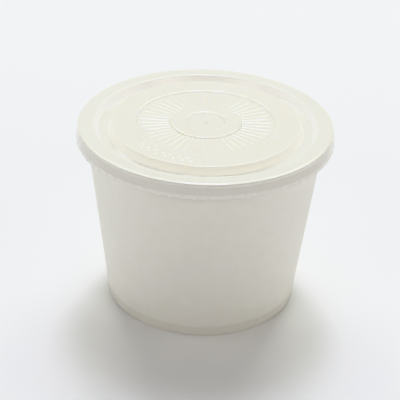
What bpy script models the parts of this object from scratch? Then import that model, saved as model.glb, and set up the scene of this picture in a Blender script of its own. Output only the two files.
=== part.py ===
"""Takeaway soup container: a tapered paper cup shut by a press-fit plastic lid.

Every length below is in millimetres, and MM turns it to metres where a mesh is made.
The origin is the middle of the base, and +Z is the container's own axis. The cup's heights
are measured from the table, and the lid's from the lower edge of its skirt.
"""
import math

import bmesh
import bpy
from mathutils import Matrix

MM = 0.001
TURN_STEPS = 64                # facets round each turned piece
MERGE_DISTANCE = 0.00001       # metres, far below the smallest facet
CLEARANCE = 0.3                # gap kept between the cup and the lid

# Cup: a tapered wall with a rolled rim, standing on the folded lower edge of the wall.
BASE_RADIUS = 38.7             # outside the fold, at the table
BASE_ROUND = 0.5               # radius of the fold's outer edge
FOOT_WIDTH = 2.2               # ring that the cup stands on
BASE_RECESS = 5.0              # the base disc sits this far up inside the wall
CRIMP_RADIUS = 38.95           # pressed band over the fold, nearly upright
CRIMP_TOP = 4.4
CRIMP_SLOPE = 0.3              # height of the short slope from the band to the wall
WALL_LOW_RADIUS = 39.1
WALL_TOP = 70.0                # where the wall turns out into the rim
WALL_TOP_RADIUS = 46.5
RIM_RADIUS = 49.5              # outside the rolled rim
RIM_TOP = 73.8                 # crest of the roll
ROLL_RADIUS = 1.3

# Lid: its heights start at the skirt's lower edge, which lies LID_SEAT above the table.
LID_SEAT = 68.9
LID_THICKNESS = 0.6
STEP_DRAFT = 0.4               # radial run of each low step
NUB_RADIUS = 0.9               # moulding mark in the middle
NUB_HEIGHT = 0.35
BOSS_FLOOR = 5.35              # round recess inside the boss ring
BOSS_INNER_RADIUS = 7.9
BOSS_OUTER_RADIUS = 13.4
RIB_FLOOR = 5.3                # sunk field that carries the ribs
RIB_FIELD_RADIUS = 27.5
PLATEAU_TOP = 6.1
PLATEAU_RADIUS = 36.8
PLATEAU_ROUND = 0.5
CHANNEL_FLOOR = 2.7            # groove between the plateau and the rim
CHANNEL_INNER_RADIUS = 38.1
CHANNEL_OUTER_RADIUS = 42.3
RIM_INNER_RADIUS = 43.5        # where the groove's outer wall turns into the flat rim
RIM_INNER_HEIGHT = 5.7
RIM_CREST_RADIUS = 47.4
RIM_CREST_HEIGHT = 6.0
BEAD_RADIUS = 50.0             # rounded outer edge of the lid
BEAD_ROUND = 1.1
BEAD_LOW = 4.6
SKIRT_TOP = 4.1
SKIRT_RADIUS = 50.75
SKIRT_LOW_RADIUS = 50.5
LIP_HEIGHT = 0.35              # thin lip along the skirt's lower edge
LIP_OUT = 0.2

# Ribs: low bars that run from the boss to the step of the plateau.
RIB_COUNT = 48
RIB_END_RADIUS = 26.9
RIB_HEIGHT = 0.45
RIB_WIDTH_TOP = 0.5
RIB_WIDTH_LOW = 1.1
RIB_EMBED = 0.2                # how deep a bar is sunk into the lid and the boss

# Lugs: wedge-shaped dents in the skirt that grip under the cup's rim.
LUG_COUNT = 68
LUG_TOP = 3.5
LUG_LOW = 1.5
LUG_DEPTH = 0.35
LUG_WIDTH_TOP = 2.3
LUG_WIDTH_LOW = 4.2
LUG_REACH = 1.0                # how far a cutter stands out beyond the skirt

CUP_COLOUR = (0.80, 0.79, 0.76)
LID_COLOUR = (0.84, 0.82, 0.74)


def clear_scene():
    for obj in list(bpy.data.objects):
        bpy.data.objects.remove(obj, do_unlink=True)


def new_collection(name):
    collection = bpy.data.collections.new(name)
    bpy.context.scene.collection.children.link(collection)
    return collection


def plain_material(name, colour, roughness):
    material = bpy.data.materials.new(name)
    material.use_nodes = True
    shader = material.node_tree.nodes["Principled BSDF"]
    shader.inputs["Base Color"].default_value = (*colour, 1.0)
    shader.inputs["Roughness"].default_value = roughness
    shader.inputs["Metallic"].default_value = 0.0
    material.diffuse_color = (*colour, 1.0)
    return material


def arc(centre_radius, centre_height, radius, start, end, pieces):
    """Points of a round stretch of an outline. Angles are in degrees, and 0 points outwards."""
    points = []
    for step in range(pieces + 1):
        angle = math.radians(start + (end - start) * step / pieces)
        points.append((centre_radius + radius * math.cos(angle),
                       centre_height + radius * math.sin(angle)))
    return points


def turned_object(name, outline, collection):
    """A solid of revolution. The outline runs from the axis on top, round the outside, to the axis below."""
    mesh = bpy.data.meshes.new(name)
    points = [(radius * MM, 0.0, height * MM) for radius, height in outline]
    edges = [(index, index + 1) for index in range(len(points) - 1)]
    mesh.from_pydata(points, edges, [])
    obj = bpy.data.objects.new(name, mesh)
    collection.objects.link(obj)
    screw = obj.modifiers.new("turn", "SCREW")
    screw.axis = "Z"
    screw.angle = math.tau
    screw.steps = TURN_STEPS
    screw.render_steps = TURN_STEPS
    screw.use_merge_vertices = True
    screw.merge_threshold = MERGE_DISTANCE
    screw.use_smooth_shade = True
    return obj


def cup_outline():
    """The shut cup is solid up to just under the groove of the lid."""
    inside_level = LID_SEAT + CHANNEL_FLOOR - LID_THICKNESS - CLEARANCE
    roll_middle = RIM_RADIUS - ROLL_RADIUS
    roll_height = RIM_TOP - ROLL_RADIUS
    mouth_radius = roll_middle - ROLL_RADIUS
    foot_inner_radius = BASE_RADIUS - FOOT_WIDTH
    outline = [(0.0, inside_level), (mouth_radius, inside_level)]
    outline += arc(roll_middle, roll_height, ROLL_RADIUS, 180.0, -60.0, 8)
    outline += [(WALL_TOP_RADIUS, WALL_TOP)]
    outline += [(WALL_LOW_RADIUS, CRIMP_TOP + CRIMP_SLOPE), (CRIMP_RADIUS, CRIMP_TOP)]
    outline += arc(BASE_RADIUS - BASE_ROUND, BASE_ROUND, BASE_ROUND, 0.0, -90.0, 3)
    outline += [(foot_inner_radius, 0.0), (foot_inner_radius, BASE_RECESS), (0.0, BASE_RECESS)]
    return outline


def lid_top_outline():
    """The lid's upper and outer face, from its middle to the lip of the skirt."""
    bead_middle = RIM_CREST_HEIGHT - BEAD_ROUND
    lip_radius = SKIRT_LOW_RADIUS + LIP_OUT
    outline = [(0.0, BOSS_FLOOR + NUB_HEIGHT), (NUB_RADIUS, BOSS_FLOOR)]
    outline += [(BOSS_INNER_RADIUS - STEP_DRAFT, BOSS_FLOOR), (BOSS_INNER_RADIUS, PLATEAU_TOP)]
    outline += [(BOSS_OUTER_RADIUS, PLATEAU_TOP), (BOSS_OUTER_RADIUS + STEP_DRAFT, RIB_FLOOR)]
    outline += [(RIB_FIELD_RADIUS, RIB_FLOOR), (RIB_FIELD_RADIUS + STEP_DRAFT, PLATEAU_TOP)]
    outline += arc(PLATEAU_RADIUS - PLATEAU_ROUND, PLATEAU_TOP - PLATEAU_ROUND, PLATEAU_ROUND, 90.0, 20.0, 2)
    outline += [(CHANNEL_INNER_RADIUS, CHANNEL_FLOOR), (CHANNEL_OUTER_RADIUS, CHANNEL_FLOOR)]
    outline += [(RIM_INNER_RADIUS, RIM_INNER_HEIGHT), (RIM_CREST_RADIUS, RIM_CREST_HEIGHT)]
    outline += arc(BEAD_RADIUS - BEAD_ROUND, bead_middle, BEAD_ROUND, 80.0, 0.0, 3)
    outline += [(BEAD_RADIUS, BEAD_LOW), (SKIRT_RADIUS, SKIRT_TOP)]
    outline += [(SKIRT_LOW_RADIUS, LIP_HEIGHT), (lip_radius, LIP_HEIGHT / 2), (lip_radius, 0.0)]
    return outline


def lid_underside_outline():
    """The hidden face of the shell, from the skirt back to the middle."""
    skirt_inner_radius = SKIRT_LOW_RADIUS - LID_THICKNESS
    rim_ceiling = RIM_INNER_HEIGHT - LID_THICKNESS
    groove_underside = CHANNEL_FLOOR - LID_THICKNESS
    outline = [(skirt_inner_radius, 0.0), (skirt_inner_radius, BEAD_LOW)]
    outline += [(RIM_CREST_RADIUS, rim_ceiling + CLEARANCE)]
    outline += [(RIM_INNER_RADIUS + LID_THICKNESS, rim_ceiling)]
    outline += [(CHANNEL_OUTER_RADIUS + LID_THICKNESS, groove_underside)]
    outline += [(CHANNEL_INNER_RADIUS - LID_THICKNESS, groove_underside)]
    outline += [(PLATEAU_RADIUS - LID_THICKNESS, RIB_FLOOR - LID_THICKNESS)]
    outline += [(0.0, RIB_FLOOR - LID_THICKNESS)]
    return outline


def add_block(mesh, inner_top, inner_low, outer, low, top, width_low, width_top, turn):
    """One six-sided block that points outwards from the axis, turned by an angle about it."""
    corners = bmesh.ops.create_cube(mesh, size=1.0)["verts"]
    for corner in corners:
        on_top = corner.co.z > 0.0
        inner = inner_top if on_top else inner_low
        width = width_top if on_top else width_low
        corner.co.x = outer if corner.co.x > 0.0 else inner
        corner.co.y = math.copysign(width / 2, corner.co.y)
        corner.co.z = top if on_top else low
    bmesh.ops.transform(mesh, verts=corners, matrix=Matrix.Rotation(turn, 4, "Z"))


def tool_object(name, mesh_builder, collection):
    """A Boolean's second operand, drawn as wire and never rendered."""
    mesh_builder.transform(Matrix.Scale(MM, 4))
    mesh = bpy.data.meshes.new(name)
    mesh_builder.to_mesh(mesh)
    mesh_builder.free()
    tool = bpy.data.objects.new(name, mesh)
    tool.hide_render = True
    tool.display_type = "WIRE"
    collection.objects.link(tool)
    return tool


def rib_bars(collection):
    bars = bmesh.new()
    inner = BOSS_OUTER_RADIUS - RIB_EMBED
    for index in range(RIB_COUNT):
        turn = math.tau * (index + 0.5) / RIB_COUNT
        add_block(bars, inner, inner, RIB_END_RADIUS, RIB_FLOOR - RIB_EMBED, RIB_FLOOR + RIB_HEIGHT,
                  RIB_WIDTH_LOW, RIB_WIDTH_TOP, turn)
    return tool_object("rib_bars", bars, collection)


def lug_cutters(collection):
    """Each wedge starts at the face of the skirt on top and is deepest at its lower end."""
    wedges = bmesh.new()
    for index in range(LUG_COUNT):
        turn = math.tau * index / LUG_COUNT
        add_block(wedges, SKIRT_RADIUS, SKIRT_LOW_RADIUS - LUG_DEPTH, SKIRT_RADIUS + LUG_REACH,
                  LUG_LOW, LUG_TOP, LUG_WIDTH_LOW, LUG_WIDTH_TOP, turn)
    return tool_object("lug_cutters", wedges, collection)


def add_boolean(obj, tool, operation):
    boolean = obj.modifiers.new(tool.name, "BOOLEAN")
    boolean.operation = operation
    boolean.solver = "EXACT"
    boolean.object = tool


def make_cup(parts):
    cup = turned_object("cup", cup_outline(), parts)
    cup.data.materials.append(plain_material("coated_paper", CUP_COLOUR, 0.6))
    return cup


def make_lid(parts, tools):
    lid = turned_object("lid", lid_top_outline() + lid_underside_outline(), parts)
    lid.data.materials.append(plain_material("moulded_polypropylene", LID_COLOUR, 0.35))
    bars = rib_bars(tools)
    wedges = lug_cutters(tools)
    add_boolean(lid, bars, "UNION")
    add_boolean(lid, wedges, "DIFFERENCE")
    for obj in (lid, bars, wedges):
        obj.location.z = LID_SEAT * MM
    return lid


def main():
    clear_scene()
    parts = new_collection("takeaway_soup_container")
    tools = new_collection("boolean_tools")
    stand = bpy.data.objects.new("container_axis", None)
    parts.objects.link(stand)
    for obj in (make_cup(parts), make_lid(parts, tools)):
        obj.parent = stand


main()
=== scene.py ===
# %% [markdown]
# # A takeaway soup container
# A takeaway soup container is two pieces: a cup rolled from coated paperboard, and a lid
# moulded from cream polypropylene that presses on over the cup's rim. The container is shut, so the
# lesson is about two skins and the light on them. The imported model gives the frame, and every
# piece below is built round it, in metres, with +Z up. Its box is kept, and the pieces take their
# sizes from it.

# %% Load the frame
import math

import bpy
from mathutils import Matrix, Vector


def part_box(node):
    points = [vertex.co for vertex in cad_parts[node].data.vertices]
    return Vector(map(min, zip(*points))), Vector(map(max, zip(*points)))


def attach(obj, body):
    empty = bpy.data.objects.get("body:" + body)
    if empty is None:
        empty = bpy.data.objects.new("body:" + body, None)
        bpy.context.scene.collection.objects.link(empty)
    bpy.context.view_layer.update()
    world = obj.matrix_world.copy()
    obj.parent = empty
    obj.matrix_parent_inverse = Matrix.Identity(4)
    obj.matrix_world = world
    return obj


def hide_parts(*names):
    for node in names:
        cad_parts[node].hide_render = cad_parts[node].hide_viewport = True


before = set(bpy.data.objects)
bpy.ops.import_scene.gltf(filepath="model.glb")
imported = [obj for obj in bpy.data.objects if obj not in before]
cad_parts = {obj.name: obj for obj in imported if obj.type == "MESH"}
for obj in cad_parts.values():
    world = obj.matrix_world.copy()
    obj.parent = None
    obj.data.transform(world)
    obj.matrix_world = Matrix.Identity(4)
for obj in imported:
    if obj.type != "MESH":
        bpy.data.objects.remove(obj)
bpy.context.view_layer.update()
cup_low, cup_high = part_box("cup")
lid_low, lid_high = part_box("lid")

# %% [markdown]
# ## Units and colours
# Wall thicknesses and fillets of packaging are millimetres and less, so sizes are written in
# millimetres and turned to metres by one constant. Colours are chosen as sRGB hex values, the
# way a paint chart gives them, but a shader adds light up linearly, so one function turns a
# hex value to linear before it reaches a socket.

# %% Units and colours
MM = 0.001


def linear(hex_colour):
    channels = [int(hex_colour[i:i + 2], 16) / 255 for i in (1, 3, 5)]
    return (*(c / 12.92 if c <= 0.04045 else ((c + 0.055) / 1.055) ** 2.4 for c in channels), 1.0)


print("white card is", [round(c, 3) for c in linear("#F4F3F0")])

# %% [markdown]
# ## One helper for every node
# Shader trees and geometry trees are built the same way: a node has a type, a few settings and
# some inputs, and an input is a value, another node's output, or another node, whose first
# output is then used. One small function does this for both kinds of tree, so a tree below reads
# as a list of steps. The settings and ramps that come up often get short names.

# %% Node helper
PLUS = {"operation": "ADD"}
MINUS = {"operation": "SUBTRACT"}
TIMES = {"operation": "MULTIPLY"}
STRAIGHT = {"interpolation_type": "LINEAR"}
SMOOTH = {"interpolation_type": "SMOOTHSTEP"}
COLOURS = {"data_type": "RGBA"}
RISING = {"To Min": 0.0, "To Max": 1.0}
FALLING = {"To Min": 1.0, "To Max": 0.0}


def add_node(tree, kind, settings=None, inputs=None):
    node = tree.nodes.new(kind)
    for name, value in (settings or {}).items():
        setattr(node, name, value)
    for key, value in (inputs or {}).items():
        if isinstance(value, bpy.types.Node):
            value = value.outputs[0]
        if isinstance(value, bpy.types.NodeSocket):
            tree.links.new(value, node.inputs[key])
        else:
            node.inputs[key].default_value = value
    return node


print("node helper ready, a ramp rises", RISING, "or falls", FALLING)

# %% [markdown]
# ## Outlines with rounded corners
# A cup and a lid are both bodies of revolution, so each starts as half of its section: a line
# of corners, given as (radius, height, fillet, rows). Pressed paper and moulded plastic have no
# sharp corners, so each corner is replaced by a small arc that touches both of its sides. Rows
# are extra points on the straight stretch before a corner, for where ribs or dents need them.
# This could be a Bevel on the finished mesh, but in the section the radii are exact.

# %% Rounded outline


def rounded_outline(corners, arc_pieces):
    """Points in metres of an open line whose corners are rounded."""
    points = []
    for index, (radius, height, fillet, rows) in enumerate(corners):
        here = Vector((radius, height))
        stretch = [here]
        if fillet > 0.0:
            back = (Vector(corners[index - 1][:2]) - here).normalized()
            ahead = (Vector(corners[index + 1][:2]) - here).normalized()
            half_angle = back.angle(ahead) / 2
            reach = fillet / math.tan(half_angle)
            centre = here + (back + ahead).normalized() * (fillet / math.sin(half_angle))
            start = here + back * reach - centre
            end = here + ahead * reach - centre
            stretch = [centre + start.slerp(end, step / arc_pieces) * fillet
                       for step in range(arc_pieces + 1)]
        if rows and points:
            last = points[-1]
            points += [last.lerp(stretch[0], step / (rows + 1)) for step in range(1, rows + 1)]
        points += stretch
    return [point * MM for point in points]


square = [(0.0, 1.0, 0.0, 0), (1.0, 1.0, 0.25, 0), (1.0, 0.0, 0.0, 0)]
print("one rounded corner:", [tuple(round(v / MM, 2) for v in p) for p in rounded_outline(square, 3)])

# %% [markdown]
# ## Turning an outline
# The Screw modifier turns an outline round the axis and merges the points that lie on it. When
# all modifiers are on, the evaluated object is copied to one plain mesh. A Weighted Normal comes
# last: the large faces decide the shading, so flat parts look flat right up to their fillets.

# %% Turned pieces
LARGE_FACES_LEAD = 80


def turned_object(name, outline, columns, base_height):
    """The outline turned once round the Z axis. A closed piece's outline runs from the axis on
    top to the axis below."""
    mesh = bpy.data.meshes.new(name)
    mesh.from_pydata([(p.x, 0.0, p.y + base_height) for p in outline],
                     [(i, i + 1) for i in range(len(outline) - 1)], [])
    obj = bpy.data.objects.new(name, mesh)
    bpy.context.collection.objects.link(obj)
    screw = obj.modifiers.new("turn", "SCREW")
    screw.steps = screw.render_steps = columns
    screw.use_merge_vertices = True
    screw.merge_threshold = 1e-7
    return obj


def made_plain(obj):
    """Turns a piece and its modifiers into one plain mesh."""
    weights = obj.modifiers.new("flat_faces_stay_flat", "WEIGHTED_NORMAL")
    weights.weight = LARGE_FACES_LEAD
    evaluated = obj.evaluated_get(bpy.context.evaluated_depsgraph_get())
    mesh = bpy.data.meshes.new_from_object(evaluated)
    mesh.shade_smooth()
    name = obj.name
    bpy.data.objects.remove(obj)
    plain = bpy.data.objects.new(name, mesh)
    mesh.name = name
    bpy.context.collection.objects.link(plain)
    triangles = sum(len(face.vertices) - 2 for face in mesh.polygons)
    print(f"{name}: {triangles} triangles")
    return plain


print("turning helpers ready, normals weigh large faces by", LARGE_FACES_LEAD)

# %% [markdown]
# ## The lid's section
# The lid is one moulded skin. From the middle outwards it has a gate mark where the plastic
# entered the mould, a boss ring, a sunk field for the ribs, a raised plateau, a groove that
# plugs the cup, a rounded bead and a skirt. The heights count from the skirt's lower edge. The
# top of the plateau and the outside of the skirt come from the frame; the rest is measured
# from them. Upper edges get a small bevel, because that is what catches a thin line of light.
# Underneath, the plug is solid, and the space for the cup's rolled rim follows the roll.

# %% Lid sizes
LID_TOP = (lid_high.z - lid_low.z) / MM
SKIRT_RADIUS = lid_high.x / MM
RIB_FIELD = LID_TOP - 0.6
BOSS_FLOOR = RIB_FIELD + 0.05
GROOVE_FLOOR = LID_TOP - 3.4
BEAD_TOP = LID_TOP - 0.12
BEAD_FOOT = 4.9
SKIRT_TOP = 2.15
RIM_ROOF = LID_TOP - 0.95
PLUG_UNDERSIDE = GROOVE_FLOOR - 0.8

GATE_RADIUS = 0.7
BOSS_INNER = 8.0
BOSS_OUTER = 13.6
BOSS_FOOT = 14.35
PLATEAU_FOOT = 26.9
PLATEAU_INNER = 27.7
PIP_BAND_INNER = 30.2
PIP_BAND_OUTER = 34.1
PLATEAU_OUTER = 36.8
PLATEAU_WALL_FOOT = 38.1
GROOVE_OUTER = 42.3
RIM_INNER = 43.5
BEAD_INNER = 46.9
BEAD_EDGE = 48.95
BEAD_OUTER = SKIRT_RADIUS - 0.8
SKIRT_INNER = SKIRT_RADIUS - 0.9
BEVEL_RUN = 0.35
BEVEL_DROP = 0.1
print(f"plateau {LID_TOP:.2f} mm above the skirt's edge, skirt {SKIRT_RADIUS:.2f} mm from the axis")

# %% [markdown]
# ### The lid's corners
# The corners run from the middle of the top outwards, down the skirt, and back to the middle
# underneath. The rib field and the plateau get extra rows, because ribs and pips are raised
# there, and the skirt gets them for its lugs. Hidden corners stay sharp.

# %% Lid section
lid_corners = [
    # gate mark and boss ring
    (0.0, BOSS_FLOOR + 0.4, 0.0, 0),
    (GATE_RADIUS, BOSS_FLOOR + 0.33, 0.2, 0),
    (GATE_RADIUS + 0.25, BOSS_FLOOR, 0.12, 0),
    (BOSS_INNER - 0.8, BOSS_FLOOR, 0.2, 0),
    (BOSS_INNER, LID_TOP - BEVEL_DROP, 0.2, 0),
    (BOSS_INNER + BEVEL_RUN, LID_TOP, 0.15, 0),
    (BOSS_OUTER - BEVEL_RUN, LID_TOP, 0.15, 0),
    (BOSS_OUTER, LID_TOP - BEVEL_DROP, 0.2, 0),
    # rib field and plateau
    (BOSS_FOOT, RIB_FIELD, 0.2, 0),
    (PLATEAU_FOOT, RIB_FIELD, 0.2, 7),
    (PLATEAU_INNER, LID_TOP - BEVEL_DROP, 0.2, 0),
    (PLATEAU_INNER + BEVEL_RUN, LID_TOP, 0.15, 0),
    (PIP_BAND_INNER, LID_TOP, 0.0, 0),
    (PIP_BAND_OUTER, LID_TOP, 0.0, 15),
    (PLATEAU_OUTER - BEVEL_RUN, LID_TOP, 0.15, 0),
    (PLATEAU_OUTER, LID_TOP - BEVEL_DROP, 0.25, 0),
    # groove
    (PLATEAU_WALL_FOOT, GROOVE_FLOOR, 0.8, 0),
    (GROOVE_OUTER, GROOVE_FLOOR, 0.9, 0),
    (RIM_INNER, LID_TOP - 0.25, 1.0, 0),
    # bead and skirt
    (BEAD_INNER, BEAD_TOP, 2.5, 0),
    (BEAD_EDGE, BEAD_TOP, 0.15, 0),
    (BEAD_EDGE + 0.65, BEAD_TOP - 0.18, 0.2, 0),
    (BEAD_OUTER, BEAD_TOP - 0.53, 0.35, 0),
    (BEAD_OUTER, BEAD_FOOT, 0.15, 0),
    (BEAD_OUTER - 0.12, BEAD_FOOT - 0.3, 0.25, 0),
    (SKIRT_RADIUS - 0.1, SKIRT_TOP - 0.4, 0.6, 0),
    (SKIRT_RADIUS, 0.0, 0.12, 8),
    # inside of the skirt, space for the cup's rim, and the plug
    (SKIRT_INNER, 0.0, 0.1, 0),
    (SKIRT_INNER - 0.2, BEAD_FOOT - 1.3, 0.0, 0),
    (SKIRT_INNER - 0.5, BEAD_FOOT - 0.4, 0.0, 0),
    (BEAD_INNER + 1.4, RIM_ROOF, 0.0, 0),
    (BEAD_INNER + 0.5, RIM_ROOF, 0.0, 0),
    (RIM_INNER + 0.6, RIM_ROOF - 0.15, 0.0, 0),
    (RIM_INNER - 0.6, PLUG_UNDERSIDE, 0.0, 0),
    (0.0, PLUG_UNDERSIDE, 0.0, 0),
]
lid_outline = rounded_outline(lid_corners, arc_pieces=2)
print(f"lid section: {len(lid_corners)} corners, {len(lid_outline)} points")

# %% [markdown]
# ## Ribs and lugs by rule
# Ribs stiffen the middle of the lid, and lugs in the skirt grip under the cup's rolled rim. Both
# repeat evenly round the axis, so Geometry Nodes works them out from each point's angle and
# radius: how far the point is from the middle of the nearest rib or lug, and how high or deep
# the skin is there. Separate bars laid on the lid would show a seam; moving the skin itself
# gives the soft feet that moulding gives. The number of columns round the lid is a multiple of
# both counts, so every rib and every lug has the same shape.

# %% Skin trees


def skin_tree(name, size_names):
    """A tree that takes a skin, named sizes and a finish, and gives the skin back."""
    tree = bpy.data.node_groups.new(name, "GeometryNodeTree")
    tree.interface.new_socket(name="Skin", in_out="INPUT", socket_type="NodeSocketGeometry")
    for size_name in size_names:
        tree.interface.new_socket(name=size_name, in_out="INPUT", socket_type="NodeSocketFloat")
    tree.interface.new_socket(name="Finish", in_out="INPUT", socket_type="NodeSocketMaterial")
    tree.interface.new_socket(name="Skin", in_out="OUTPUT", socket_type="NodeSocketGeometry")
    return tree, tree.nodes.new("NodeGroupInput").outputs


def round_the_axis(tree, place):
    """Height, angle round the Z axis, distance from it, and the direction straight out from it."""
    xyz = add_node(tree, "ShaderNodeSeparateXYZ", None, {0: place}).outputs
    angle = add_node(tree, "ShaderNodeMath", {"operation": "ARCTAN2"}, {0: xyz[1], 1: xyz[0]})
    flat = add_node(tree, "ShaderNodeCombineXYZ", None, {0: xyz[0], 1: xyz[1]})
    radius = add_node(tree, "ShaderNodeVectorMath", {"operation": "LENGTH"}, {0: flat}).outputs["Value"]
    outwards = add_node(tree, "ShaderNodeVectorMath", {"operation": "NORMALIZE"}, {0: flat})
    return xyz[2], angle, radius, outwards


def kept_within(tree, amount, limits):
    """The amount, brought down to nothing past every limit. A limit is a ramp: straight or
    smooth, rising or falling, what it reads, and where it starts and ends."""
    for curve, way, reading, start, end in limits:
        share = add_node(tree, "ShaderNodeMapRange", curve, {
            "Value": reading, "From Min": start, "From Max": end, **way})
        amount = add_node(tree, "ShaderNodeMath", TIMES, {0: amount, 1: share})
    return amount


def close_skin_tree(tree, size, offset):
    """Moves the skin by the offset, realizes it and gives it its finish."""
    moved = add_node(tree, "GeometryNodeSetPosition", None, {"Geometry": size["Skin"], "Offset": offset})
    real = add_node(tree, "GeometryNodeRealizeInstances", None, {0: moved})
    coated = add_node(tree, "GeometryNodeSetMaterial", None, {
        "Geometry": real, "Material": size["Finish"]})
    add_node(tree, "NodeGroupOutput", None, {0: coated})
    print(f"{tree.name}: {len(tree.nodes)} nodes")


def use_tree(obj, tree, values):
    """Puts a geometry tree on a piece and fills its named inputs."""
    modifier = obj.modifiers.new(tree.name, "NODES")
    modifier.node_group = tree
    for item in tree.interface.items_tree:
        if item.in_out == "INPUT" and item.name in values:
            modifier[item.identifier] = values[item.name]


print("skin tree helpers ready, heights and radii are read in metres")

# %% [markdown]
# ### How far to the nearest rib or lug
# A full turn divided by the count is one share, and the angle counted in shares runs through
# every feature once. Ping-pong folds that count, so it says how far the nearest middle line
# is, whichever side it lies on. Times the radius, that is a length in metres.

# %% Distance to ribs and lugs
RIB_COUNT = 48
LUG_COUNT = 68
LID_COLUMNS = math.lcm(RIB_COUNT, LUG_COUNT)

ribs_and_lugs, size = skin_tree("ribs_and_lugs", (
    "Rib count", "Rib phase", "Rib height", "Rib half width", "Rib start", "Rib end", "Rib level",
    "Lug count", "Lug phase", "Lug depth", "Lug half width top", "Lug half width low", "Lug top",
    "Lug low", "Skirt radius"))
tree = ribs_and_lugs
height, angle, radius, outwards = round_the_axis(tree, add_node(tree, "GeometryNodeInputPosition"))

across = {}
for feature in ("Rib", "Lug"):
    share = add_node(tree, "ShaderNodeMath", {"operation": "DIVIDE"}, {
        0: math.tau, 1: size[feature + " count"]})
    turns = add_node(tree, "ShaderNodeMath", {"operation": "DIVIDE"}, {0: angle, 1: share})
    shifted = add_node(tree, "ShaderNodeMath", PLUS, {0: turns, 1: size[feature + " phase"]})
    side = add_node(tree, "ShaderNodeMath", {"operation": "PINGPONG"}, {0: shifted, 1: 0.5})
    wide = add_node(tree, "ShaderNodeMath", TIMES, {0: share, 1: radius})
    across[feature] = add_node(tree, "ShaderNodeMath", TIMES, {0: side, 1: wide})
print("columns round the lid:", LID_COLUMNS)

# %% [markdown]
# ### Raise the ribs
# A rib is a low roof: its height falls evenly from its middle line to its foot, and it fades
# out at both ends. It is its height times a few ramps, one for each direction in which it ends,
# so one end can be changed without touching the others.

# %% Ribs
past_start = add_node(tree, "ShaderNodeMath", MINUS, {0: radius, 1: size["Rib start"]})
past_end = add_node(tree, "ShaderNodeMath", MINUS, {0: radius, 1: size["Rib end"]})
above = add_node(tree, "ShaderNodeMath", MINUS, {0: height, 1: size["Rib level"]})
rib = kept_within(tree, size["Rib height"], (
    (STRAIGHT, FALLING, across["Rib"], 0.0, size["Rib half width"]),
    (SMOOTH, RISING, past_start, -0.3 * MM, 0.0),
    (SMOOTH, FALLING, past_end, -0.6 * MM, 0.1 * MM),
    (SMOOTH, RISING, above, -0.3 * MM, -0.1 * MM),
    (SMOOTH, FALLING, above, 0.1 * MM, 0.4 * MM),
))
print("nodes with the ribs:", len(tree.nodes))

# %% [markdown]
# ### Sink the lugs
# A lug is a shallow arch pressed into the skirt, wider below than above, and deepest low down.
# It is made in the same way, and its depth moves the skin straight in towards the axis.

# %% Lugs
half_width = add_node(tree, "ShaderNodeMapRange", None, {
    "Value": height, "From Min": size["Lug low"], "From Max": size["Lug top"],
    "To Min": size["Lug half width low"], "To Max": size["Lug half width top"]})
past_side = add_node(tree, "ShaderNodeMath", MINUS, {0: across["Lug"], 1: half_width})
past_low = add_node(tree, "ShaderNodeMath", MINUS, {0: height, 1: size["Lug low"]})
past_skirt = add_node(tree, "ShaderNodeMath", MINUS, {0: radius, 1: size["Skirt radius"]})
lug = kept_within(tree, size["Lug depth"], (
    (SMOOTH, FALLING, past_side, -0.35 * MM, 0.0),
    (SMOOTH, RISING, past_low, -0.5 * MM, 0.0),
    (STRAIGHT, FALLING, height, size["Lug low"], size["Lug top"]),
    (SMOOTH, RISING, past_skirt, -0.6 * MM, -0.4 * MM),
))

sunk = add_node(tree, "ShaderNodeMath", TIMES, {0: lug, 1: -1.0})
dent = add_node(tree, "ShaderNodeVectorMath", {"operation": "SCALE"}, {0: outwards, "Scale": sunk})
rise = add_node(tree, "ShaderNodeCombineXYZ", None, {2: rib})
close_skin_tree(tree, size, add_node(tree, "ShaderNodeVectorMath", PLUS, {0: dent, 1: rise}))

# %% [markdown]
# ## Specks
# Clean board and plastic still carry a fleck here and there. Each cell of a Voronoi pattern
# could hold one round fleck, and its own random value picks the few cells that do.

# %% Specks


def specks(tree, place, spacing, radius, share):
    """Round specks: one cell each, and only a share of the cells has one."""
    cells = add_node(tree, "ShaderNodeTexVoronoi", None, {"Vector": place, "Scale": 1 / spacing})
    near = add_node(tree, "ShaderNodeMapRange", SMOOTH, {
        "Value": cells.outputs["Distance"], "From Min": 0.6 * radius / spacing,
        "From Max": radius / spacing, **FALLING})
    pick = add_node(tree, "ShaderNodeSeparateColor", None, {0: cells.outputs["Color"]})
    chosen = add_node(tree, "ShaderNodeMath", {"operation": "LESS_THAN"}, {0: pick, 1: share})
    return add_node(tree, "ShaderNodeMath", TIMES, {0: near, 1: chosen})


print("specks ready: one for some of the cells of a Voronoi pattern")

# %% [markdown]
# ## The lid's finish
# The lid is polypropylene moulded from granules without dye, in a mould that was sandblasted
# lightly. The plastic is a cream white that lets some light in, so it scatters light for about
# a millimetre below its surface, with slow clouds where it is thicker. On the steep walls of the
# plug and on the skirt the scattering is off, because light leaks out through so thin a skin and
# leaves it grey. The light that glows in those walls is given by a paler colour there instead.
# A few specks are dust that was moulded in.

# %% Polypropylene colours
LID_CREAM = "#EAE8DA"
LID_CREAM_THICK = "#E8E6D7"
LID_SKIRT = "#E8E6DD"
LID_DUST = "#6F6552"
SCATTERING = 0.9
# Painted glow: the steep walls of the plug get a paler colour for the light that comes through the
# plastic.
PAINTED_WALL_GLOW = (
    (PLATEAU_OUTER, PLATEAU_WALL_FOOT + 0.2, "#FFFDF0"),
    (GROOVE_OUTER - 0.1, RIM_INNER, "#FFFDF8"),
)
lid_finish = bpy.data.materials.new("moulded_cream_polypropylene")
lid_finish.use_nodes = True
tree = lid_finish.node_tree
shader = tree.nodes["Principled BSDF"]
place = add_node(tree, "ShaderNodeTexCoord").outputs["Object"]
height, angle, radius, outwards = round_the_axis(tree, place)

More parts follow.
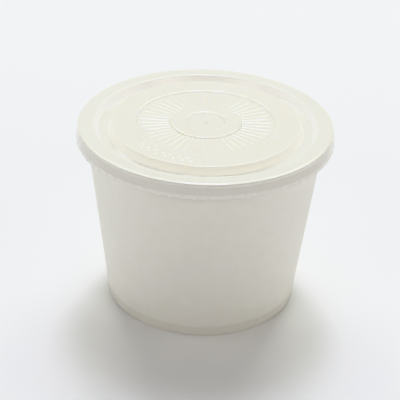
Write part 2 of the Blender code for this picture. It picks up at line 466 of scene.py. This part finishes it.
flow = add_node(tree, "ShaderNodeTexNoise", None, {
    "Vector": place, "Scale": 1 / (14 * MM), "Detail": 3.0})
thick = add_node(tree, "ShaderNodeMapRange", SMOOTH, {"Value": flow, "From Min": 0.35, "From Max": 0.65})
body = add_node(tree, "ShaderNodeMix", COLOURS, {
    0: thick, 6: linear(LID_CREAM), 7: linear(LID_CREAM_THICK)})
outside = add_node(tree, "ShaderNodeMapRange", SMOOTH, {
    "Value": radius, "From Min": (BEAD_OUTER - 0.5) * MM, "From Max": (BEAD_OUTER + 0.1) * MM})
body = add_node(tree, "ShaderNodeMix", COLOURS, {0: outside, 6: body.outputs[2], 7: linear(LID_SKIRT)})
scatter = add_node(tree, "ShaderNodeMapRange", None, {
    "Value": outside, "To Min": SCATTERING, "To Max": 0.0})
# Each wall zone is painted paler, as painted glow, and its scattering is turned off.
for start, end, colour in PAINTED_WALL_GLOW:
    inner = add_node(tree, "ShaderNodeMapRange", SMOOTH, {
        "Value": radius, "From Min": (start - 0.4) * MM, "From Max": (start + 0.2) * MM})
    outer = add_node(tree, "ShaderNodeMapRange", SMOOTH, {
        "Value": radius, "From Min": (end - 0.3) * MM, "From Max": (end + 0.4) * MM, **FALLING})
    wall = add_node(tree, "ShaderNodeMath", TIMES, {0: inner, 1: outer})
    body = add_node(tree, "ShaderNodeMix", COLOURS, {0: wall, 6: body.outputs[2], 7: linear(colour)})
    scatter = add_node(tree, "ShaderNodeMapRange", None, {
        "Value": wall, "To Min": scatter, "To Max": 0.0})
spotted = specks(tree, place, spacing=13 * MM, radius=0.3 * MM, share=0.12)
dust = add_node(tree, "ShaderNodeMath", TIMES, {0: spotted, 1: 0.35})
body = add_node(tree, "ShaderNodeMix", COLOURS, {0: dust, 6: body.outputs[2], 7: linear(LID_DUST)})
tree.links.new(body.outputs[2], shader.inputs["Base Color"])
tree.links.new(scatter.outputs[0], shader.inputs["Subsurface Weight"])
print(f"{lid_finish.name}: {len(tree.nodes)} nodes for its colours")

# %% [markdown]
# ### The surface that the mould leaves
# The fine blasting of the mould comes off as a satin: it moves the roughness a little and gives
# a bump a third of a millimetre wide, which is coarser than the real one so that it shows. Slow
# waves, about nine millimetres long, are left where the plastic shrinks as it cools.

# %% Polypropylene surface
blast = add_node(tree, "ShaderNodeTexNoise", None, {
    "Vector": place, "Scale": 1 / (0.35 * MM), "Detail": 2.0})
waves = add_node(tree, "ShaderNodeTexNoise", None, {
    "Vector": place, "Scale": 1 / (9 * MM), "Detail": 1.0})
fine = add_node(tree, "ShaderNodeBump", None, {
    "Strength": 0.12, "Distance": 0.03 * MM, "Height": blast})
bump = add_node(tree, "ShaderNodeBump", None, {
    "Strength": 0.5, "Distance": 0.1 * MM, "Height": waves, "Normal": fine})
tree.links.new(bump.outputs[0], shader.inputs["Normal"])
satin = add_node(tree, "ShaderNodeMapRange", None, {
    "Value": blast, "From Min": 0.3, "From Max": 0.7, "To Min": 0.13, "To Max": 0.19})
tree.links.new(satin.outputs[0], shader.inputs["Roughness"])
shader.inputs["IOR"].default_value = 1.49
shader.inputs["Subsurface Radius"].default_value = (1.0, 0.92, 0.75)
shader.inputs["Subsurface Scale"].default_value = 1.2 * MM
print(f"{lid_finish.name}: {len(tree.nodes)} nodes in all")

# %% [markdown]
# ## Raised pips on the plateau
# A moulder leaves small raised marks on the plateau. What they would say has no part in how the
# lid looks, so here they are plain round pips in two staggered rows along an arc. A ball set into
# the skin would leave one closed shape inside another, and subsurface light goes dark where that
# happens. So a second tree raises the skin round the nearest pip's middle: the angle past the
# first pip, counted in pitches and rounded, is the number of the nearest one.

# %% Pips
raised_pips, size = skin_tree("raised_pips", (
    "Pips in a row", "Arc radius", "Row gap", "Start angle", "Pitch angle", "Level", "Pip radius",
    "Pip height"))
tree = raised_pips
height, angle, radius, outwards = round_the_axis(tree, add_node(tree, "GeometryNodeInputPosition"))
turn = add_node(tree, "ShaderNodeMath", {"operation": "WRAP"}, {0: angle, 1: math.tau, 2: 0.0})
last = add_node(tree, "ShaderNodeMath", MINUS, {0: size["Pips in a row"], 1: 1.0})
rows = []
for row in (0.0, 1.0):
    first = add_node(tree, "ShaderNodeMath", {"operation": "MULTIPLY_ADD"},
                     {0: size["Pitch angle"], 1: 0.5 * row, 2: size["Start angle"]})
    ahead = add_node(tree, "ShaderNodeMath", MINUS, {0: turn, 1: first})
    steps = add_node(tree, "ShaderNodeMath", {"operation": "DIVIDE"}, {0: ahead, 1: size["Pitch angle"]})
    nearest = add_node(tree, "ShaderNodeMath", {"operation": "ROUND"}, {0: steps})
    number = add_node(tree, "ShaderNodeClamp", None, {0: nearest, 1: 0.0, 2: last})
    off = add_node(tree, "ShaderNodeMath", MINUS, {0: steps, 1: number})
    off_angle = add_node(tree, "ShaderNodeMath", TIMES, {0: off, 1: size["Pitch angle"]})
    along = add_node(tree, "ShaderNodeMath", TIMES, {0: off_angle, 1: radius})
    middle = add_node(tree, "ShaderNodeMath", {"operation": "MULTIPLY_ADD"},
                      {0: size["Row gap"], 1: row, 2: size["Arc radius"]})
    out = add_node(tree, "ShaderNodeMath", MINUS, {0: radius, 1: middle})
    apart = add_node(tree, "ShaderNodeCombineXYZ", None, {0: along, 1: out})
    away = add_node(tree, "ShaderNodeVectorMath", {"operation": "LENGTH"}, {0: apart}).outputs["Value"]
    rows.append(kept_within(tree, 1.0, ((SMOOTH, FALLING, away, 0.0, size["Pip radius"]),)))
dome = add_node(tree, "ShaderNodeMath", {"operation": "MAXIMUM"}, {0: rows[0], 1: rows[1]})
raised = add_node(tree, "ShaderNodeMath", TIMES, {0: size["Pip height"], 1: dome})
above = add_node(tree, "ShaderNodeMath", MINUS, {0: height, 1: size["Level"]})
rise = kept_within(tree, raised, ((SMOOTH, RISING, above, -0.3 * MM, -0.1 * MM),))
close_skin_tree(tree, size, add_node(tree, "ShaderNodeCombineXYZ", None, {2: rise}))

# %% [markdown]
# ## Build the lid
# The section is turned, the first tree raises the ribs and sinks the lugs, the second raises
# the pips, and the result becomes one plain mesh. Each lug is a shallow arch: its face starts at
# the skirt's own surface on top and leans in downwards, almost to the lower edge.

# %% Build the lid
lid = turned_object("moulded_lid", lid_outline, LID_COLUMNS, lid_low.z)
use_tree(lid, ribs_and_lugs, {
    "Rib count": float(RIB_COUNT), "Rib phase": 0.5,
    "Rib height": 0.14 * MM, "Rib half width": 0.4 * MM,
    "Rib start": BOSS_FOOT * MM, "Rib end": PLATEAU_FOOT * MM,
    "Rib level": lid_low.z + RIB_FIELD * MM,
    "Lug count": float(LUG_COUNT), "Lug phase": 0.0, "Lug depth": 0.32 * MM,
    "Lug half width top": 1.2 * MM, "Lug half width low": 2.1 * MM,
    "Lug top": lid_low.z + SKIRT_TOP * MM, "Lug low": lid_low.z + 0.2 * MM,
    "Skirt radius": SKIRT_RADIUS * MM, "Finish": lid_finish})
use_tree(lid, raised_pips, {
    "Pips in a row": 7.0, "Arc radius": 31.2 * MM, "Row gap": 1.9 * MM,
    "Start angle": math.radians(221.7), "Pitch angle": math.radians(6.2), "Level": lid_high.z,
    "Pip radius": 0.8 * MM, "Pip height": 0.28 * MM, "Finish": lid_finish})
lid = made_plain(lid)

# %% [markdown]
# ## The cup's section
# The cup is one strip of board wound into a cone, with a rolled rim on top and a pressed band at
# the bottom, where the wall is folded over the base disc. Under the lid the shut container is
# left solid. The rim and the height come from the frame, and the heights count from the base.

# %% Cup section
RIM_RADIUS = cup_high.x / MM
RIM_TOP = cup_high.z / MM
RIM_WIDTH = 2.6
RIM_FILLET = 1.2
FILL_TOP = RIM_TOP - 3.1
WALL_TOP = RIM_TOP - 3.4
WALL_TOP_RADIUS = 46.55
WALL_FOOT = 4.75
WALL_FOOT_RADIUS = 39.1
BAND_TOP = 4.35
BAND_RADIUS = 38.95
BASE_RADIUS = 38.7
RECESS = 5.0
RECESS_RADIUS = 36.5

cup_corners = [
    (0.0, FILL_TOP, 0.0, 0),
    (RIM_RADIUS - RIM_WIDTH, FILL_TOP, 0.0, 0),
    (RIM_RADIUS - RIM_WIDTH, RIM_TOP, RIM_FILLET, 0),
    (RIM_RADIUS, RIM_TOP, RIM_FILLET, 0),
    (RIM_RADIUS, RIM_TOP - RIM_WIDTH, RIM_FILLET, 0),
    (WALL_TOP_RADIUS, WALL_TOP, 0.3, 0),
    (WALL_FOOT_RADIUS, WALL_FOOT, 0.4, 60),
    (BAND_RADIUS, BAND_TOP, 0.2, 0),
    (BASE_RADIUS, 0.0, 0.45, 5),
    (RECESS_RADIUS, 0.0, 0.3, 0),
    (RECESS_RADIUS, RECESS, 0.3, 0),
    (0.0, RECESS, 0.0, 0),
]
cup_outline = rounded_outline(cup_corners, arc_pieces=4)
print(f"cup section: {len(cup_corners)} corners, {len(cup_outline)} points")

# %% [markdown]
# ## The side seam
# The strip of board is glued where its ends overlap. The overlap is real: on one side of the
# seam the outer layer stands proud by the thickness of the board, and round the cup the step
# dies away. It could be painted on as a line, but only a real step takes the light from the side.

# %% Seam tree
side_seam, size = skin_tree("side_seam", (
    "Seam angle", "Fade angle", "Board", "Wall low", "Wall top", "Inside radius"))
tree = side_seam
height, angle, radius, outwards = round_the_axis(tree, add_node(tree, "GeometryNodeInputPosition"))
behind = add_node(tree, "ShaderNodeMath", MINUS, {0: angle, 1: size["Seam angle"]})
turn = add_node(tree, "ShaderNodeMath", {"operation": "WRAP"}, {0: behind, 1: math.tau, 2: 0.0})
past_low = add_node(tree, "ShaderNodeMath", MINUS, {0: height, 1: size["Wall low"]})
past_top = add_node(tree, "ShaderNodeMath", MINUS, {0: height, 1: size["Wall top"]})
past_inside = add_node(tree, "ShaderNodeMath", MINUS, {0: radius, 1: size["Inside radius"]})
proud = kept_within(tree, size["Board"], (
    (SMOOTH, FALLING, turn, 0.0, size["Fade angle"]),
    (SMOOTH, RISING, past_low, 0.0, 0.5 * MM),
    (SMOOTH, FALLING, past_top, -2.0 * MM, 0.0),
    (SMOOTH, RISING, past_inside, 0.0, 0.5 * MM),
))
close_skin_tree(tree, size, add_node(
    tree, "ShaderNodeVectorMath", {"operation": "SCALE"}, {0: outwards, "Scale": proud}))

# %% [markdown]
# ## The cup's finish
# The board is bleached pulp with a thin coat of polyethylene. Up close it is a warm white with a
# faint cloudiness where fibres lie thicker, and now and then a grey fleck. The clouds are about
# five millimetres across. The pressed band at the foot is painted a little darker: painted shade
# for the shade that falls near the floor.

# %% Coated paperboard
BOARD_WHITE = "#E8E6DD"
BOARD_CLOUD = "#E6E4DA"
BOARD_FOOT_SHADE = "#DFDCD2"
BOARD_FLECK = "#77715F"

cup_finish = bpy.data.materials.new("coated_white_paperboard")
cup_finish.use_nodes = True
tree = cup_finish.node_tree
shader = tree.nodes["Principled BSDF"]
place = add_node(tree, "ShaderNodeTexCoord").outputs["Object"]
cloud = add_node(tree, "ShaderNodeTexNoise", None, {
    "Vector": place, "Scale": 1 / (5 * MM), "Detail": 4.0, "Roughness": 0.6})
dense = add_node(tree, "ShaderNodeMapRange", SMOOTH, {"Value": cloud, "From Min": 0.35, "From Max": 0.65})
body = add_node(tree, "ShaderNodeMix", COLOURS, {
    0: dense, 6: linear(BOARD_WHITE), 7: linear(BOARD_CLOUD)})
height = add_node(tree, "ShaderNodeSeparateXYZ", None, {0: place}).outputs[2]
# Painted shade: the band at the foot is painted darker, where shade falls near the floor.
foot_shade = add_node(tree, "ShaderNodeMapRange", SMOOTH, {
    "Value": height, "From Min": (BAND_TOP - 0.45) * MM, "From Max": (BAND_TOP + 0.55) * MM, **FALLING})
body = add_node(tree, "ShaderNodeMix", COLOURS, {
    0: foot_shade, 6: body.outputs[2], 7: linear(BOARD_FOOT_SHADE)})
spotted = specks(tree, place, spacing=9 * MM, radius=0.35 * MM, share=0.10)
fleck = add_node(tree, "ShaderNodeMath", TIMES, {0: spotted, 1: 0.4})
body = add_node(tree, "ShaderNodeMix", COLOURS, {0: fleck, 6: body.outputs[2], 7: linear(BOARD_FLECK)})
tree.links.new(body.outputs[2], shader.inputs["Base Color"])
print(f"{cup_finish.name}: {len(tree.nodes)} nodes for its colours")

# %% [markdown]
# ### The coat on the board
# The coat follows the tooth of the board, so it gives a fine bump, drawn half a millimetre wide,
# which is coarser than the real one so that it shows. Nothing on the cup is glossy: the coat only
# takes the edge off the roughness, and a little light goes into the board below it.

# %% Paperboard surface
tooth = add_node(tree, "ShaderNodeTexNoise", None, {
    "Vector": place, "Scale": 1 / (0.5 * MM), "Detail": 3.0})
fine = add_node(tree, "ShaderNodeBump", None, {"Strength": 0.2, "Distance": 0.03 * MM, "Height": tooth})
bump = add_node(tree, "ShaderNodeBump", None, {
    "Strength": 0.15, "Distance": 0.05 * MM, "Height": cloud, "Normal": fine})
tree.links.new(bump.outputs[0], shader.inputs["Normal"])
sheen = add_node(tree, "ShaderNodeMapRange", None, {
    "Value": tooth, "From Min": 0.3, "From Max": 0.7, "To Min": 0.50, "To Max": 0.62})
tree.links.new(sheen.outputs[0], shader.inputs["Roughness"])
shader.inputs["IOR"].default_value = 1.48
shader.inputs["Subsurface Weight"].default_value = 0.1
shader.inputs["Subsurface Radius"].default_value = (1.0, 0.9, 0.7)
shader.inputs["Subsurface Scale"].default_value = 0.6 * MM
print(f"{cup_finish.name}: {len(tree.nodes)} nodes in all")

# %% [markdown]
# ## Build the cup
# The seam goes at the back, a little to one side: every paper cup has one, and this one's front
# and sides are plain. The inside radius keeps the step off the recess in the base.

# %% Build the cup
CUP_COLUMNS = 540
BOARD = 0.3

cup = turned_object("paper_cup", cup_outline, CUP_COLUMNS, cup_low.z)
use_tree(cup, side_seam, {
    "Seam angle": math.radians(97.0), "Fade angle": math.radians(28.0), "Board": BOARD * MM,
    "Wall low": cup_low.z, "Wall top": cup_high.z - 3.5 * MM,
    "Inside radius": (RECESS_RADIUS + 1.0) * MM, "Finish": cup_finish})
cup = made_plain(cup)

# %% [markdown]
# ## Floor
# White packaging on a white sweep is lit by soft sources, and the shadow does the drawing. The
# floor is one turned sheet that curves up far away, so no line of horizon shows. Its paint is
# matte, and nearly white all over.

# %% Floor
FLOOR_REACH = 1500.0
SWEEP_FILLET = 700.0
SWEEP_REACH = 2300.0
SWEEP_HEIGHT = 1600.0
FLOOR_COLUMNS = 128
PAINT_LIGHT = "#F3F3F1"
PAINT_DARK = "#F2F2F0"

floor_outline = rounded_outline([
    (0.0, 0.0, 0.0, 0), (FLOOR_REACH, 0.0, SWEEP_FILLET, 0), (SWEEP_REACH, SWEEP_HEIGHT, 0.0, 0)],
    arc_pieces=24)
floor = made_plain(turned_object("studio_floor", floor_outline, FLOOR_COLUMNS, cup_low.z))

paint = bpy.data.materials.new("matte_white_paint")
paint.use_nodes = True
tree = paint.node_tree
shader = tree.nodes["Principled BSDF"]
place = add_node(tree, "ShaderNodeTexCoord").outputs["Object"]
grain = add_node(tree, "ShaderNodeTexNoise", None, {
    "Vector": place, "Scale": 1 / (60 * MM), "Detail": 2.0})
tone = add_node(tree, "ShaderNodeMix", COLOURS, {
    0: grain, 6: linear(PAINT_LIGHT), 7: linear(PAINT_DARK)})
tree.links.new(tone.outputs[2], shader.inputs["Base Color"])
shader.inputs["Roughness"].default_value = 0.8
shader.inputs["Specular IOR Level"].default_value = 0.2
floor.data.materials.append(paint)

# %% [markdown]
# ## Light
# The main softbox hangs above and behind the container, and a narrow, brighter one, the core,
# hangs close behind it. The core draws thin highlights on the bead, the steps and the ribs; the
# wide one keeps the shadow soft and leaves the near side and the floor in front in soft shade.
# Two more stand behind it on either side, and four weak fills open up the near side of the cup.
# The Neutral view transform rolls off gently near white, where the default would grey the whites.

# %% Lights
scene = bpy.context.scene
scene.view_settings.view_transform = "Khronos PBR Neutral"
world = bpy.data.worlds.new("soft_room")
world.use_nodes = True
background = world.node_tree.nodes["Background"]
background.inputs["Color"].default_value = linear("#F6F8FC")
background.inputs["Strength"].default_value = 0.02
scene.world = world

LIT_PLACE = Vector((0.0, 0.0, 0.05))


def softbox(name, position, width, height, power, colour):
    lamp = bpy.data.lights.new(name, "AREA")
    lamp.shape = "RECTANGLE"
    lamp.size = width
    lamp.size_y = height
    lamp.energy = power
    lamp.color = linear(colour)[:3]
    obj = bpy.data.objects.new(name, lamp)
    obj.location = position
    obj.rotation_euler = (LIT_PLACE - Vector(position)).to_track_quat("-Z", "Y").to_euler()
    bpy.context.collection.objects.link(obj)


softbox("softbox_main", (0.0, 0.45, 1.25), 0.9, 0.6, 3.8, "#EAEEFF")
softbox("softbox_core", (0.0, 0.6, 1.15), 0.25, 0.6, 6.8, "#E9EAFF")
softbox("softbox_back_left", (-0.3, 0.8, 1.0), 0.4, 0.5, 4.2, "#FBFFF3")
softbox("softbox_back_right", (0.3, 0.8, 1.0), 0.4, 0.5, 4.9, "#FAFFF7")
softbox("fill_front_left", (-0.9, -0.9, 0.8), 0.6, 0.6, 3.4, "#FFFAF7")
softbox("fill_front_right", (0.9, -0.9, 0.8), 0.6, 0.6, 3.2, "#FFF5F6")
softbox("fill_left", (-1.2, 0.1, 0.6), 0.8, 0.8, 2.3, "#FBFCFF")
softbox("fill_right", (1.2, 0.1, 0.6), 0.8, 0.8, 2.3, "#FDFFF2")

# %% [markdown]
# ## Camera
# The camera looks down at about thirty degrees from half a metre away through a long lens, as
# one would look at a container on a table, and it is turned a little about its own axis.

# %% Camera
EYE = Vector((0.0037, -0.4221, 0.2875))
AIM = Vector((-0.0013, 0.0, 0.0392))
TURN = math.radians(1.84)

camera_data = bpy.data.cameras.new("camera")
camera_data.lens = 108.76
camera_data.sensor_width = 36.0
camera_data.clip_start = 0.01
camera_data.clip_end = 20.0
camera = bpy.data.objects.new("camera", camera_data)
camera.matrix_world = (Matrix.Translation(EYE)
                       @ (AIM - EYE).to_track_quat("-Z", "Y").to_matrix().to_4x4()
                       @ Matrix.Rotation(TURN, 4, "Z"))
bpy.context.collection.objects.link(camera)
scene.camera = camera
print("camera:", round((EYE - AIM).length, 4), "m from its aim")

# %% [markdown]
# ## Ride, replace and finish
# Both pieces stand still on the same body. Each replaces its plain solid from the imported model,
# which is hidden.

# %% Ride, replace and finish
for piece, node, slot in ((cup, "cup", "cup_paper"), (lid, "lid", "lid_plastic")):
    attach(piece, "root")
    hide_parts(node)
